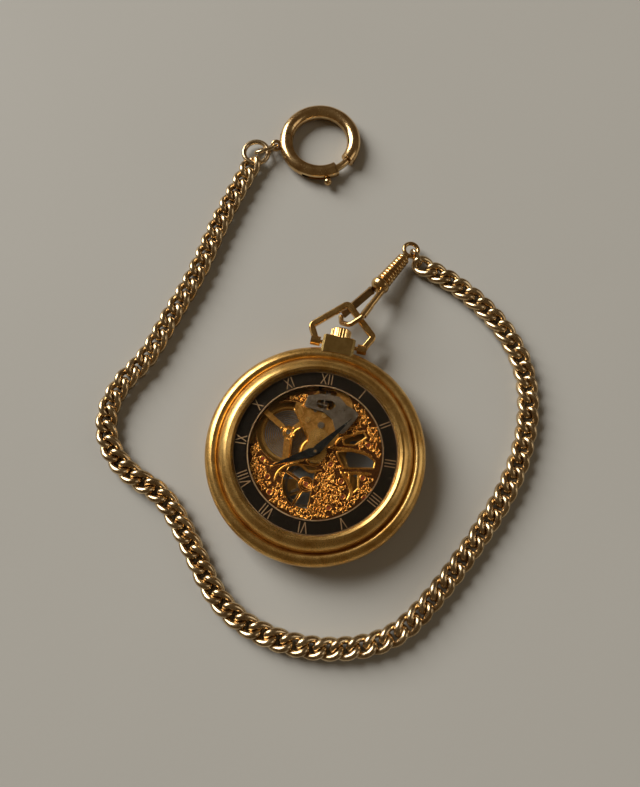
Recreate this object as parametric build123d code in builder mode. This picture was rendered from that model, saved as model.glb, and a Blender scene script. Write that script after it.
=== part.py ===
"""Open face pocket watch: a skeleton movement in a two-band case, on a curb chain.

The dial faces up (+Z), the pendant and crown point along +Y, and the origin lies
under the centre of the case, in the plane of the back rim that the watch rests on.
All sizes are in millimetres.
"""
from build123d import *
import os
from math import atan2, cos, degrees, pi, radians, sin, tan

os.makedirs("parts", exist_ok=True)

# ---------------------------------------------------------------- driving sizes
case_radius = 24.0            # outside of the middle case
groove_radius = 21.1          # joint between the case band and the front bezel
band_bore = 18.22             # bore of the middle case, which holds the movement
plate_radius = 18.2           # main plate of the movement
dial_radius = 17.95
dial_opening = 14.3           # the window in the chapter ring
dial_twist = 2.7              # the dial sits turned a little to the left in its case

# heights above the table, from the back to the crystal
back_top = 1.95               # joint between back bezel and middle case
bridge_bottom = 2.3
bridge_top = 3.1
plate_bottom = 5.3
plate_top = 6.4
band_step = 6.0               # seat of the front bezel
dial_bottom = 7.2
dial_top = 7.55
hour_hand_height = 7.8
minute_hand_height = 8.15
hand_thickness = 0.12
stem_height = 4.6             # axis of the winding stem
print_thickness = 0.05        # raised gold print on the dial

# hands show about six and a half minutes past eight
minute_hand_angle = 39.0 - dial_twist
hour_hand_angle = 243.25 - dial_twist
minute_hand_length = 10.8
hour_hand_length = 10.1

# gear counts, and modules where the centres do not fix them
barrel_teeth, centre_leaves = 78, 12
centre_teeth, third_leaves = 80, 10
third_teeth, fourth_leaves = 75, 10
fourth_teeth, escape_leaves = 70, 7
cannon_leaves, minute_teeth, cannon_module = 12, 36, 0.125
minute_leaves, hour_teeth, hour_module = 10, 40, 0.12
setting_teeth = 12
ratchet_teeth, crown_wheel_teeth, winding_module = 52, 42, 0.2
winding_leaves = 14

# chain
chain_width, chain_height = 5.0, 3.2
chain_axis_height = chain_height / 2
chain_route = [
    (14.9, 49.6), (20.7, 48.0), (29.5, 43.6), (37.5, 37.2), (43.2, 28.6),
    (45.4, 17.0), (43.8, 3.6), (38.4, -9.6), (31.8, -23.0), (24.2, -34.6),
    (11.2, -39.6), (-2.6, -39.6), (-13.6, -35.0), (-22.3, -24.2), (-30.6, -15.2),
    (-39.0, -12.8), (-45.4, -8.0), (-48.2, -0.8), (-46.8, 7.0), (-42.4, 13.8),
    (-39.9, 24.4), (-36.4, 36.6), (-34.9, 48.0), (-32.8, 58.4), (-30.5, 67.4),
]

# bow and its hinge in the pendant
bow_axis_y, bow_axis_z = 25.2, 4.5
bow_bar = 1.5
bow_outline = [(-5.45, 25.6), (-7.0, 28.6), (0.15, 35.3), (7.3, 28.6), (5.75, 25.6)]

# clip: the point of the bow's right leg that it hangs on, and its own directions
clip_pivot = (2.24, 33.46, 4.5)
clip_reach = 9.4              # from that point to the middle of the ball collar
clip_axis = Vector(0.447, 0.886, -0.12).normalized()
clip_side = Vector(clip_axis.Y, -clip_axis.X, 0).normalized()
clip_tilt = 42.0              # the hook's plane leans this far out of the level
barrel_end = 10.2             # length of the ribbed barrel above the collar's middle
eye_reach = 12.5

# bolt ring at the chain's far end
bolt_ring_centre = (-15.3, 76.9)
bolt_ring_major = 8.4
bolt_ring_tube = 1.7

# ---------------------------------------------------------------- helper functions
UPRIGHT = (Align.CENTER, Align.CENTER, Align.MIN)


def polar(radius, angle, centre=(0.0, 0.0)):
    """Point at a radius and an angle in degrees about a centre."""
    return (centre[0] + radius * cos(radians(angle)), centre[1] + radius * sin(radians(angle)))


def gap_between(a, b):
    """Distance between two points of the plan."""
    return ((a[0] - b[0]) ** 2 + (a[1] - b[1]) ** 2) ** 0.5


def heading(a, b):
    """Direction in degrees from one point of the plan to another."""
    return degrees(atan2(b[1] - a[1], b[0] - a[0]))


def centre_distance(module, teeth_a, teeth_b):
    """Distance between the centres of two wheels in mesh."""
    return module * (teeth_a + teeth_b) / 2


def meshing_phase(centre_a, teeth_a, phase_a, centre_b, teeth_b):
    """Phase that puts a gap of wheel b against each tooth of wheel a."""
    line = heading(centre_a, centre_b)
    share = ((line - phase_a) * teeth_a / 360) % 1
    return line + 180 + (share + 0.5) * 360 / teeth_b


def gear_face(teeth, module, phase, centre, height):
    """Spur gear outline with one tooth at the angle phase, on a level plane."""
    pitch_radius = module * teeth / 2
    step = 360 / teeth
    corners = [(-0.30, -1.1), (-0.13, 0.8), (0.13, 0.8), (0.30, -1.1)]
    points = []
    for tooth in range(teeth):
        for share, rise in corners:
            angle = phase + step * (tooth + share)
            points.append(polar(pitch_radius + rise * module, angle, centre))
    with BuildSketch(Plane.XY.offset(height)) as outline:
        with BuildLine():
            Polyline(*points, close=True)
        make_face()
    return outline.sketch


def spiral_face(centre, inner, outer, turns, thickness, height):
    """Flat spiral band, as of a mainspring or a hairspring, on a level plane."""
    steps = int(turns * 24)
    middle = []
    for step in range(steps + 1):
        share = step / steps
        middle.append((inner + (outer - inner) * share, 360 * turns * share))
    outside = [polar(radius + thickness / 2, angle, centre) for radius, angle in middle]
    inside = [polar(radius - thickness / 2, angle, centre) for radius, angle in reversed(middle)]
    with BuildSketch(Plane.XY.offset(height)) as outline:
        with BuildLine():
            Polyline(*outside, *inside, close=True)
        make_face()
    return outline.sketch


def post(radius, centre, bottom, top, mode=Mode.ADD):
    """Upright cylinder between two heights."""
    with Locations((centre[0], centre[1], bottom)):
        Cylinder(radius, top - bottom, align=UPRIGHT, mode=mode)


def along_stem(radius, near, far, mode=Mode.ADD):
    """Cylinder on the axis of the winding stem, between two distances from the centre."""
    start = Plane(origin=(0, near, stem_height), x_dir=(1, 0, 0), z_dir=(0, 1, 0))
    with Locations(start.location):
        Cylinder(radius, far - near, align=UPRIGHT, mode=mode)


def stem_plane(distance):
    """Plane square to the winding stem."""
    return Plane(origin=(0, distance, stem_height), x_dir=(1, 0, 0), z_dir=(0, 1, 0))


def slotted_screw(centre, head_radius, outer, inner, shank_radius, shank_end, slot_angle):
    """Screw whose head runs from its slotted outer face to its inner face."""
    low, high = min(outer, inner), max(outer, inner)
    post(head_radius, centre, low, high)
    low_shank, high_shank = min(inner, shank_end), max(inner, shank_end)
    post(shank_radius, centre, low_shank, high_shank)
    with Locations(Location((centre[0], centre[1], outer), (0, 0, slot_angle))):
        Box(head_radius * 3, head_radius * 0.28, 0.24, mode=Mode.SUBTRACT)


def window(points, radius, height):
    """Closed outline with rounded corners, as a face on a level plane."""
    with BuildSketch(Plane.XY.offset(height)) as outline:
        with BuildLine():
            FilletPolyline(*points, radius=radius, close=True)
        make_face()
    return outline.sketch


def ring_sector(inner, outer, start, end, centre, height):
    """Part of a flat ring between two angles, as a face on a level plane."""
    middle = (start + end) / 2
    with BuildSketch(Plane.XY.offset(height)) as outline:
        with BuildLine():
            ThreePointArc(
                polar(outer, start, centre), polar(outer, middle, centre), polar(outer, end, centre)
            )
            Line(polar(outer, end, centre), polar(inner, end, centre))
            ThreePointArc(
                polar(inner, end, centre), polar(inner, middle, centre), polar(inner, start, centre)
            )
            Line(polar(inner, start, centre), polar(outer, start, centre))
        make_face()
    return outline.sketch


def oval_link(plane, half_length, half_width, wire_radius):
    """Closed oval of round wire in the given plane, long along its x direction."""
    straight = half_length - half_width
    with BuildLine(plane) as path:
        Line((-straight, half_width), (straight, half_width))
        ThreePointArc((straight, half_width), (half_length, 0), (straight, -half_width))
        Line((straight, -half_width), (-straight, -half_width))
        ThreePointArc((-straight, -half_width), (-half_length, 0), (-straight, half_width))
    start = Plane(
        origin=plane.from_local_coords(Vector(0, half_width, 0)), z_dir=plane.x_dir
    )
    with BuildSketch(start) as section:
        Circle(wire_radius)
    return sweep(section.sketch, path=path.wire(), mode=Mode.PRIVATE)


def save(piece, name):
    """Label a finished piece and write its STEP file."""
    piece.part.label = name
    export_step(piece.part, f"parts/{name}.step")


# ---------------------------------------------------------------- plan of the movement
centre_at = (0.0, 0.0)
barrel_at = (-6.6, 3.1)
third_at = (3.7, -1.9)
fourth_at = (6.7, -4.9)
escape_at = (7.6, -8.0)
pallet_at = (5.35, -7.6)
balance_at = (-0.5, -7.1)
barrel_module = 2 * gap_between(centre_at, barrel_at) / (barrel_teeth + centre_leaves)
centre_module = 2 * gap_between(centre_at, third_at) / (centre_teeth + third_leaves)
third_module = 2 * gap_between(third_at, fourth_at) / (third_teeth + fourth_leaves)
fourth_module = 2 * gap_between(fourth_at, escape_at) / (fourth_teeth + escape_leaves)
minute_at = (0.0, centre_distance(cannon_module, cannon_leaves, minute_teeth))
setting_at = (0.0, minute_at[1] + centre_distance(cannon_module, minute_teeth, setting_teeth))
winding_reach = centre_distance(winding_module, ratchet_teeth, crown_wheel_teeth)
crown_wheel_at = (0.0, barrel_at[1] + (winding_reach ** 2 - barrel_at[0] ** 2) ** 0.5)
balance_rim = 4.6
pivot_radius = 0.12
jewel_bore = 0.15
jewel_radius = 0.6
train_jewels = [third_at, fourth_at, escape_at, balance_at]
cap_jewels = [
    (10.8, 3.9), (11.0, -3.3), (5.2, -10.9), (12.2, -7.4),
    (-10.7, -3.7), (-8.9, -7.2), (-7.7, -10.3),
]
keyless_screws_at = [(3.5, 10.1), (-3.3, 10.3)]
lever_pivot = keyless_screws_at[0]
click_at = polar(7.3, 228, barrel_at)
case_screws_at = [polar(17.25, angle) for angle in (140, 0, 250)]

# ---------------------------------------------------------------- case
with BuildPart() as mid_case:
    with BuildSketch(Plane.XZ):
        with BuildLine():
            Line((19.4, back_top), (22.3, back_top))
            ThreePointArc((22.3, back_top), (23.6, 3.0), (case_radius, 4.6))
            ThreePointArc((case_radius, 4.6), (23.4, 6.3), (22.3, 6.95))
            ThreePointArc((22.3, 6.95), (21.6, 6.8), (groove_radius + 0.05, 6.3))
            Line((groove_radius + 0.05, 6.3), (groove_radius + 0.05, band_step))
            Line((groove_radius + 0.05, band_step), (band_bore, band_step))
            Polyline((band_bore, band_step), (band_bore, bridge_bottom), (19.4, bridge_bottom))
            Line((19.4, bridge_bottom), (19.4, back_top))
        make_face()
    revolve(axis=Axis.Z)
    along_stem(0.62, 17, 26, mode=Mode.SUBTRACT)
save(mid_case, "mid_case")

with BuildPart() as front_bezel:
    with BuildSketch(Plane.XZ):
        with BuildLine():
            Polyline((18.3, band_step), (groove_radius, band_step), (groove_radius, 6.45))
            ThreePointArc((groove_radius, 6.45), (20.2, 8.1), (18.9, 9.0))
            Polyline((18.9, 9.0), (18.45, 9.05), (17.9, 8.6), (17.9, 8.46))
            Polyline((17.9, 8.46), (18.6, 8.46), (18.6, 7.94), (18.3, 7.94), (18.3, band_step))
        make_face()
    revolve(axis=Axis.Z)
save(front_bezel, "front_bezel")

def dome_arc(half_chord, edge, crown):
    """Points of an arc from a rim up to the axis, level where it meets the axis."""
    rise = crown - edge
    radius = (half_chord ** 2 + rise ** 2) / (2 * rise)
    middle = crown - radius + (radius ** 2 - half_chord ** 2 / 4) ** 0.5
    return (half_chord, edge), (half_chord / 2, middle), (0, crown)


with BuildPart() as front_crystal:
    with BuildSketch(Plane.XZ):
        with BuildLine():
            Line((0, 9.1), (0, 9.9))
            ThreePointArc(*dome_arc(17.84, 8.72, 9.9))
            Polyline((17.84, 8.72), (17.84, 8.44), (18.58, 8.44), (18.58, 7.96), (17.1, 7.96))
            ThreePointArc(*dome_arc(17.1, 7.96, 9.1))
        make_face()
    revolve(axis=Axis.Z)
save(front_crystal, "front_crystal")

with BuildPart() as dial_flange:
    with BuildSketch(Plane.XZ):
        with BuildLine():
            Polyline((17.55, dial_top), (18.28, dial_top), (18.28, 7.95), (17.75, 7.95), close=True)
        make_face()
    revolve(axis=Axis.Z)
save(dial_flange, "dial_flange")

with BuildPart() as back_bezel:
    with BuildSketch(Plane.XZ):
        with BuildLine():
            Polyline((18.05, back_top), (18.05, 0.48), (17.5, 0.48), (17.5, 0.3), (18.3, 0))
            Line((18.3, 0), (20.4, 0))
            ThreePointArc((20.4, 0), (21.7, 0.7), (22.3, back_top))
            Line((22.3, back_top), (18.05, back_top))
        make_face()
    revolve(axis=Axis.Z)
    with Locations(Location((0, 0, 0.0), (0, 0, 200))):
        with Locations((22.2, 0, back_top)):
            Box(1.6, 3.0, 0.7, mode=Mode.SUBTRACT)
save(back_bezel, "back_bezel")

with BuildPart() as back_crystal:
    post(18.0, centre_at, 0.5, 1.3)
save(back_crystal, "back_crystal")

with BuildPart() as case_screws:
    for spot, turn in zip(case_screws_at, (30, 75, 120)):
        slotted_screw(spot, 1.2, 1.98, bridge_bottom, 0.34, 3.0, turn)
save(case_screws, "case_screws")

with BuildPart() as pendant:
    with BuildSketch(stem_plane(21.4)):
        Rectangle(7.3, 4.7)
    extrude(amount=26.6 - 21.4)
    chamfer(pendant.edges().filter_by(Axis.Y), length=0.55)
    chamfer(pendant.faces().sort_by(Axis.Y)[-1].edges(), length=0.18)
    along_stem(2.42, 26.2, 27, mode=Mode.SUBTRACT)
    along_stem(0.62, 20, 27, mode=Mode.SUBTRACT)
    for side in (-1, 1):
        with Locations(Location((side * 3.3, bow_axis_y, bow_axis_z), (0, 90, 0))):
            Cylinder(0.45, 0.9, mode=Mode.SUBTRACT)
    add(mid_case.part, mode=Mode.SUBTRACT)
    post(22.6, centre_at, 0, 10, mode=Mode.SUBTRACT)
save(pendant, "pendant")

# ---------------------------------------------------------------- crown and keyless work
with BuildPart() as crown:
    flutes = 22
    with BuildSketch(stem_plane(26.35)):
        Circle(2.3)
        with PolarLocations(2.38, flutes):
            Circle(0.17, mode=Mode.SUBTRACT)
    extrude(amount=2.2)
    with BuildSketch(stem_plane(28.55)):
        Circle(2.12)
    extrude(amount=0.25, taper=30)
    along_stem(1.35, 26.3, 27.0, mode=Mode.SUBTRACT)
    along_stem(0.5, 26, 27.6, mode=Mode.SUBTRACT)
save(crown, "crown")

with BuildPart() as crown_gasket:
    along_stem(1.3, 26.36, 26.9)
    along_stem(0.54, 26.3, 27, mode=Mode.SUBTRACT)
save(crown_gasket, "crown_gasket")

with BuildPart() as winding_stem:
    along_stem(0.5, 9.0, 27.6)
save(winding_stem, "winding_stem")

with BuildPart() as winding_pinion:
    leaf_step = 360 / winding_leaves
    leaf_points = []
    for leaf in range(winding_leaves):
        for share, radius in ((-0.28, 0.85), (-0.14, 1.1), (0.14, 1.1), (0.28, 0.85)):
            leaf_points.append(polar(radius, leaf_step * (leaf + share)))
    with BuildSketch(stem_plane(11.65)):
        with BuildLine():
            Polyline(*leaf_points, close=True)
        make_face()
    extrude(amount=1.1)
    along_stem(0.53, 11, 13, mode=Mode.SUBTRACT)
save(winding_pinion, "winding_pinion")

with BuildPart() as sliding_pinion:
    ribs = 16
    with BuildSketch(stem_plane(9.7)):
        Circle(1.05)
        with PolarLocations(1.09, ribs):
            Circle(0.1, mode=Mode.SUBTRACT)
    extrude(amount=1.75)
    along_stem(1.2, 10.3, 10.75, mode=Mode.SUBTRACT)
    along_stem(0.78, 10.2, 10.85)
    along_stem(0.53, 9, 12, mode=Mode.SUBTRACT)
save(sliding_pinion, "sliding_pinion")

with BuildPart() as yoke:
    with BuildSketch(Plane.XY.offset(6.45)):
        with Locations((-0.9, 10.52)):
            RectangleRounded(2.6, 0.34, 0.15)
        with Locations((-1.9, 9.6)):
            RectangleRounded(0.7, 2.1, 0.3)
    extrude(amount=0.25)
    with Locations((0, 10.52, 5.42)):
        Box(0.7, 0.3, 1.1, align=UPRIGHT)
save(yoke, "yoke")

with BuildPart() as setting_lever:
    lever_tip = (0.45, 12.95)
    lever_turn = heading(lever_pivot, lever_tip)
    lever_middle = ((lever_pivot[0] + lever_tip[0]) / 2, (lever_pivot[1] + lever_tip[1]) / 2)
    with BuildSketch(Plane.XY.offset(6.47)):
        with Locations(Location((*lever_middle, 0), (0, 0, lever_turn))):
            Rectangle(gap_between(lever_pivot, lever_tip), 0.55)
        with Locations(lever_pivot):
            Circle(1.3)
        with Locations(lever_tip):
            Circle(0.3)
        with Locations(lever_pivot):
            Circle(0.85, mode=Mode.SUBTRACT)
    extrude(amount=0.25)
    post(0.2, lever_tip, 5.16, 6.5)
save(setting_lever, "setting_lever")

with BuildPart() as keyless_cover:
    cover_outline = [
        (-4.4, 9.2), (-4.2, 11.7), (-1.4, 12.7), (2.6, 12.9), (4.6, 11.3), (6.2, 10.8),
        (7.6, 9.9), (6.9, 8.2), (5.1, 5.1), (3.4, 5.1), (2.2, 7.6), (-0.2, 8.9),
    ]
    sight_outline = [
        (-1.9, 9.7), (-1.9, 11.1), (-0.6, 11.6), (1.4, 11.6), (2.3, 10.8), (1.5, 9.7), (-0.2, 9.45),
    ]
    extrude(window(cover_outline, 0.5, 6.85), amount=0.25)
    extrude(window(sight_outline, 0.25, 6.8), amount=0.4, mode=Mode.SUBTRACT)
    for spot in keyless_screws_at:
        post(0.8, spot, plate_top, 6.85)
        post(0.35, spot, plate_top - 0.1, 7.2, mode=Mode.SUBTRACT)
save(keyless_cover, "keyless_cover")

with BuildPart() as steel_screws:
    for spot, turn in zip(keyless_screws_at, (25, 70)):
        slotted_screw(spot, 0.62, 7.28, 7.1, 0.33, 5.6, turn)
    slotted_screw(click_at, 0.62, 1.6, 1.78, 0.33, 3.28, 15)
save(steel_screws, "steel_screws")

plate_screws_at = [(0.2, 8.3), (-3.1, 6.6)]
with BuildPart() as plate_screws:
    for spot, turn in zip(plate_screws_at, (10, 55)):
        slotted_screw(spot, 0.6, 6.68, plate_top, 0.33, 5.6, turn)
save(plate_screws, "plate_screws")

# ---------------------------------------------------------------- plates and bridges
bridge_screws_at = [polar(16.1, angle) for angle in (106, 178, 52, -38, 24, 232)]
with BuildPart() as main_plate:
    post(plate_radius, centre_at, plate_bottom, plate_top)
    post(plate_radius, centre_at, plate_top, dial_bottom)
    post(16.6, centre_at, plate_top, dial_bottom + 0.1, mode=Mode.SUBTRACT)
    # window over the barrel, crossed by three arms from a hub
    with BuildSketch(Plane.XY.offset(plate_bottom)):
        with Locations(barrel_at):
            Circle(6.85)
            Circle(1.45, mode=Mode.SUBTRACT)
        for arm_angle, arm_width in ((150, 1.2), (277, 1.6), (45, 1.2)):
            arm_middle = polar(4.2, arm_angle, barrel_at)
            with Locations(Location((*arm_middle, 0), (0, 0, arm_angle))):
                Rectangle(6.2, arm_width, mode=Mode.SUBTRACT)
        Circle(3.0, mode=Mode.SUBTRACT)
        with BuildLine():
            Polyline((-6.4, 12.0), (-6.4, 8.2), (-2.0, 2.4), (-0.9, -8.0), (8.0, 12.0), close=True)
        make_face(mode=Mode.SUBTRACT)
    extrude(amount=plate_top - plate_bottom, mode=Mode.SUBTRACT)
    # scalloped setting round the barrel's arbor
    with Locations((*barrel_at, plate_bottom)):
        with PolarLocations(1.5, 9):
            Cylinder(0.27, 3, mode=Mode.SUBTRACT)
    # crescent that shows the teeth of the centre wheel
    extrude(ring_sector(1.7, 2.7, 238, 306, centre_at, plate_bottom), amount=2, mode=Mode.SUBTRACT)
    # window over the balance, with its jewel hub on two thin arms
    with BuildSketch(Plane.XY.offset(plate_bottom)):
        with Locations(balance_at):
            Circle(5.1)
            Circle(1.6, mode=Mode.SUBTRACT)
            for arm_angle in (159, 249):
                with Locations(Location((*polar(3.4, arm_angle), 0), (0, 0, arm_angle))):
                    Rectangle(4.2, 0.45, mode=Mode.SUBTRACT)
        with Locations((4.6, -7.1)):
            Rectangle(7.4, 11.0, mode=Mode.SUBTRACT)
        with Locations((-0.5, -2.0)):
            Rectangle(7.0, 2.2, mode=Mode.SUBTRACT)
    extrude(amount=plate_top - plate_bottom, mode=Mode.SUBTRACT)
    upper_right = [(5.2, 4.0), (9.2, 6.6), (10.2, 5.4), (8.0, 3.2), (5.6, 2.9)]
    right = [(4.3, 1.0), (7.5, 1.9), (10.9, 1.8), (13.0, 0.7), (13.0, -0.8), (6.9, -2.1), (5.8, -1.0)]
    lower_right = [(8.0, -2.9), (9.9, -2.6), (10.5, -5.8), (9.6, -7.0), (8.6, -6.3)]
    for outline in (upper_right, right, lower_right):
        extrude(window(outline, 0.4, plate_bottom), amount=2, mode=Mode.SUBTRACT)
    for start, end in ((97, 148), (163, 184)):
        crescent = ring_sector(13.5, 15.4, start, end, centre_at, plate_bottom)
        extrude(crescent, amount=2, mode=Mode.SUBTRACT)
    # slot over the winding and sliding pinions, and a bearing block for the stem
    with Locations((0, 11.45, plate_bottom - 0.1)):
        Box(3.8, 5.1, 2, align=UPRIGHT, mode=Mode.SUBTRACT)
    with Locations((0, 15.7, 3.3)):
        Box(4.4, 2.8, 2.1, align=UPRIGHT)
    along_stem(0.53, 14, 19, mode=Mode.SUBTRACT)
    for spot in train_jewels + cap_jewels:
        post(jewel_radius, spot, plate_bottom - 0.1, plate_top + 0.1, mode=Mode.SUBTRACT)
    post(jewel_radius, pallet_at, plate_bottom - 0.1, 5.7, mode=Mode.SUBTRACT)
    post(pivot_radius + 0.05, pallet_at, 5.6, 6.1, mode=Mode.SUBTRACT)
    post(0.64, barrel_at, plate_bottom - 0.1, plate_top + 0.1, mode=Mode.SUBTRACT)
    post(0.24, centre_at, plate_bottom - 0.1, plate_top + 0.1, mode=Mode.SUBTRACT)
    for spot in (minute_at, setting_at):
        post(0.3, spot, plate_bottom - 0.1, plate_top + 0.1, mode=Mode.SUBTRACT)
    for spot in keyless_screws_at + plate_screws_at:
        post(0.35, spot, 5.5, plate_top + 0.1, mode=Mode.SUBTRACT)
save(main_plate, "main_plate")

with BuildPart() as jewels:
    for spot in train_jewels:
        post(jewel_radius, spot, plate_bottom + 0.3, plate_top)
        post(jewel_radius, spot, bridge_bottom, bridge_top - 0.1)
        post(jewel_bore, spot, 2, plate_top + 0.1, mode=Mode.SUBTRACT)
    post(jewel_radius, pallet_at, plate_bottom, 5.7)
    post(0.3, pallet_at, 4.2, 4.5)
    post(jewel_bore, pallet_at, 4.1, 6, mode=Mode.SUBTRACT)
    for spot in cap_jewels:
        post(jewel_radius, spot, plate_bottom + 0.3, plate_top)
save(jewels, "jewels")


def bridge_blank(outline, screw_spots):
    """Bridge plate clipped to the movement's circle, with a pillar at each screw."""
    with BuildPart() as blank:
        with BuildSketch(Plane.XY.offset(bridge_bottom)):
            Circle(17.9)
            with BuildLine():
                FilletPolyline(*outline, radius=0.8, close=True)
            make_face(mode=Mode.INTERSECT)
        extrude(amount=bridge_top - bridge_bottom)
        for spot in screw_spots:
            post(1.25, spot, bridge_top, plate_bottom)
            post(0.42, spot, bridge_bottom - 0.1, 4.7, mode=Mode.SUBTRACT)
        for spot in case_screws_at:
            post(0.35, spot, 2, 3.2, mode=Mode.SUBTRACT)
    return blank.part


with BuildPart() as barrel_bridge:
    outline = [
        (-19, -4.2), (-8.6, -4.2), (-1.4, -2.4), (1.9, 0.9), (3.1, 5.0), (5.0, 9.0),
        (13.2, 12.6), (14.0, 19), (-19, 19),
    ]
    add(bridge_blank(outline, bridge_screws_at[:3]))
    # annular recess for the crown wheel's end teeth, bridged at both sides of the stem
    post(3.0, crown_wheel_at, bridge_top, 3.7)
    with BuildSketch(Plane.XY.offset(2.2)):
        with Locations(crown_wheel_at):
            Circle(2.7)
            Circle(1.7, mode=Mode.SUBTRACT)
    extrude(amount=1.3, mode=Mode.SUBTRACT)
    with Locations((*crown_wheel_at, 3.45)):
        Box(2.6, 8, 1, align=UPRIGHT, mode=Mode.SUBTRACT)
    post(0.8, crown_wheel_at, 2.2, 3.2, mode=Mode.SUBTRACT)
    post(0.95, barrel_at, 2, 3.2, mode=Mode.SUBTRACT)
    post(0.5, centre_at, 2, 3.2, mode=Mode.SUBTRACT)
    post(0.35, click_at, 2, 3.4, mode=Mode.SUBTRACT)
    for start, end in ((95, 175), (190, 265), (280, 330)):
        sight = ring_sector(2.6, 4.6, start, end, barrel_at, 2)
        extrude(sight, amount=1.5, mode=Mode.SUBTRACT)
save(barrel_bridge, "barrel_bridge")

with BuildPart() as train_bridge:
    outline = [
        (2.8, 0.6), (2.2, -3.2), (3.0, -8.0), (6.0, -10.6), (13.0, -14.5), (19, -14), (19, 10.8),
        (12.8, 10.6), (5.6, 7.4), (4.4, 4.6),
    ]
    add(bridge_blank(outline, bridge_screws_at[3:5]))
    for spot in train_jewels[:3]:
        post(jewel_radius, spot, 2, 3.2, mode=Mode.SUBTRACT)
    sight = [(6.5, 0.4), (6.9, 4.5), (12.2, 5.8), (13.2, -3.5), (9.3, -3.0)]
    extrude(window(sight, 0.7, 2), amount=1.5, mode=Mode.SUBTRACT)
save(train_bridge, "train_bridge")

with BuildPart() as balance_cock:
    outline = [
        (-17, -13), (-9.6, -8.2), (-4.5, -6.4), (-0.9, -5.6), (0.9, -6.2), (0.8, -8.0),
        (-1.6, -9.0), (-4.5, -10.6), (-6.2, -19),
    ]
    add(bridge_blank(outline, bridge_screws_at[5:]))
    post(jewel_radius, balance_at, 2, 3.2, mode=Mode.SUBTRACT)
save(balance_cock, "balance_cock")

with BuildPart() as pallet_bridge:
    foot_at = (4.5, -10.6)
    with BuildSketch(Plane.XY.offset(4.2)):
        with BuildLine():
            Line(pallet_at, foot_at)
        trace(line_width=1.3)
        with Locations(pallet_at, foot_at):
            Circle(0.65)
    extrude(amount=0.3)
    post(0.65, foot_at, 4.5, plate_bottom)
    post(0.3, pallet_at, 4.1, 4.6, mode=Mode.SUBTRACT)
save(pallet_bridge, "pallet_bridge")

with BuildPart() as bridge_screws:
    for spot, turn in zip(bridge_screws_at, (20, 80, 140, 35, 110, 60)):
        slotted_screw(spot, 0.85, 1.75, bridge_bottom, 0.4, 4.6, turn)
save(bridge_screws, "bridge_screws")

# ---------------------------------------------------------------- barrel and winding wheels
centre_phase = 0.0
barrel_phase = meshing_phase(centre_at, centre_leaves, centre_phase, barrel_at, barrel_teeth)
with BuildPart() as barrel_drum:
    post(5.9, barrel_at, 3.25, 4.65)
    extrude(gear_face(barrel_teeth, barrel_module, barrel_phase, barrel_at, 3.6), amount=0.3)
    post(5.55, barrel_at, 3.4, 4.7, mode=Mode.SUBTRACT)
    post(0.98, barrel_at, 3.2, 3.5, mode=Mode.SUBTRACT)
save(barrel_drum, "barrel_drum")

with BuildPart() as mainspring:
    extrude(spiral_face(barrel_at, 1.35, 5.4, 9, 0.16, 3.45), amount=1.1)
save(mainspring, "mainspring")

click_angle = heading(barrel_at, click_at)
ratchet_phase = click_angle + 180 / ratchet_teeth
with BuildPart() as barrel_arbor:
    post(0.92, barrel_at, bridge_bottom - 0.1, 4.6)
    post(0.6, barrel_at, 4.6, 6.3)
    with Locations(Location((*barrel_at, 1.55), (0, 0, 20))):
        Box(0.95, 0.95, 0.7, align=UPRIGHT)
save(barrel_arbor, "barrel_arbor")

with BuildPart() as ratchet_wheel:
    extrude(
        gear_face(ratchet_teeth, winding_module, ratchet_phase, barrel_at, 1.78),
        amount=bridge_bottom - 0.1 - 1.78,
    )
    with Locations(Location((*barrel_at, 1.7), (0, 0, 20))):
        Box(0.99, 0.99, 0.7, align=UPRIGHT, mode=Mode.SUBTRACT)
    for spoke_angle in range(0, 360, 72):
        post(0.8, polar(3.0, spoke_angle, barrel_at), 1.7, 2.3, mode=Mode.SUBTRACT)
save(ratchet_wheel, "ratchet_wheel")

crown_wheel_phase = meshing_phase(
    barrel_at, ratchet_teeth, ratchet_phase, crown_wheel_at, crown_wheel_teeth
)
with BuildPart() as crown_wheel:
    extrude(
        gear_face(crown_wheel_teeth, winding_module, crown_wheel_phase, crown_wheel_at, 1.78),
        amount=0.42,
    )
    post(2.6, crown_wheel_at, 2.2, 3.2)
    post(1.8, crown_wheel_at, 2.2, 3.6, mode=Mode.SUBTRACT)
    contrate_teeth = 26
    for tooth in range(contrate_teeth):
        tooth_angle = 90 + 360 * (tooth + 0.5) / contrate_teeth
        with Locations(Location((*crown_wheel_at, 3.15), (0, 0, tooth_angle))):
            with Locations((2.2, 0, 0)):
                Box(0.6, 0.22, 0.3, align=UPRIGHT)
    post(0.82, crown_wheel_at, 1.7, 2.5, mode=Mode.SUBTRACT)
save(crown_wheel, "crown_wheel")

with BuildPart() as crown_wheel_core:
    post(1.45, crown_wheel_at, 1.58, 1.76)
    post(0.78, crown_wheel_at, 1.76, 3.1)
    with Locations((*crown_wheel_at, 1.58)):
        Box(3.2, 0.3, 0.2, mode=Mode.SUBTRACT)
save(crown_wheel_core, "crown_wheel_core")

with BuildPart() as click:
    click_tip = polar(5.5, click_angle, barrel_at)
    click_middle = ((click_at[0] + click_tip[0]) / 2, (click_at[1] + click_tip[1]) / 2)
    with BuildSketch(Plane.XY.offset(1.8)):
        with Locations(click_at):
            Circle(0.9)
        with Locations(Location((*click_middle, 0), (0, 0, click_angle))):
            Rectangle(gap_between(click_at, click_tip), 0.7)
        with Locations(click_at):
            Circle(0.37, mode=Mode.SUBTRACT)
    extrude(amount=0.4)
save(click, "click")

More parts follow.
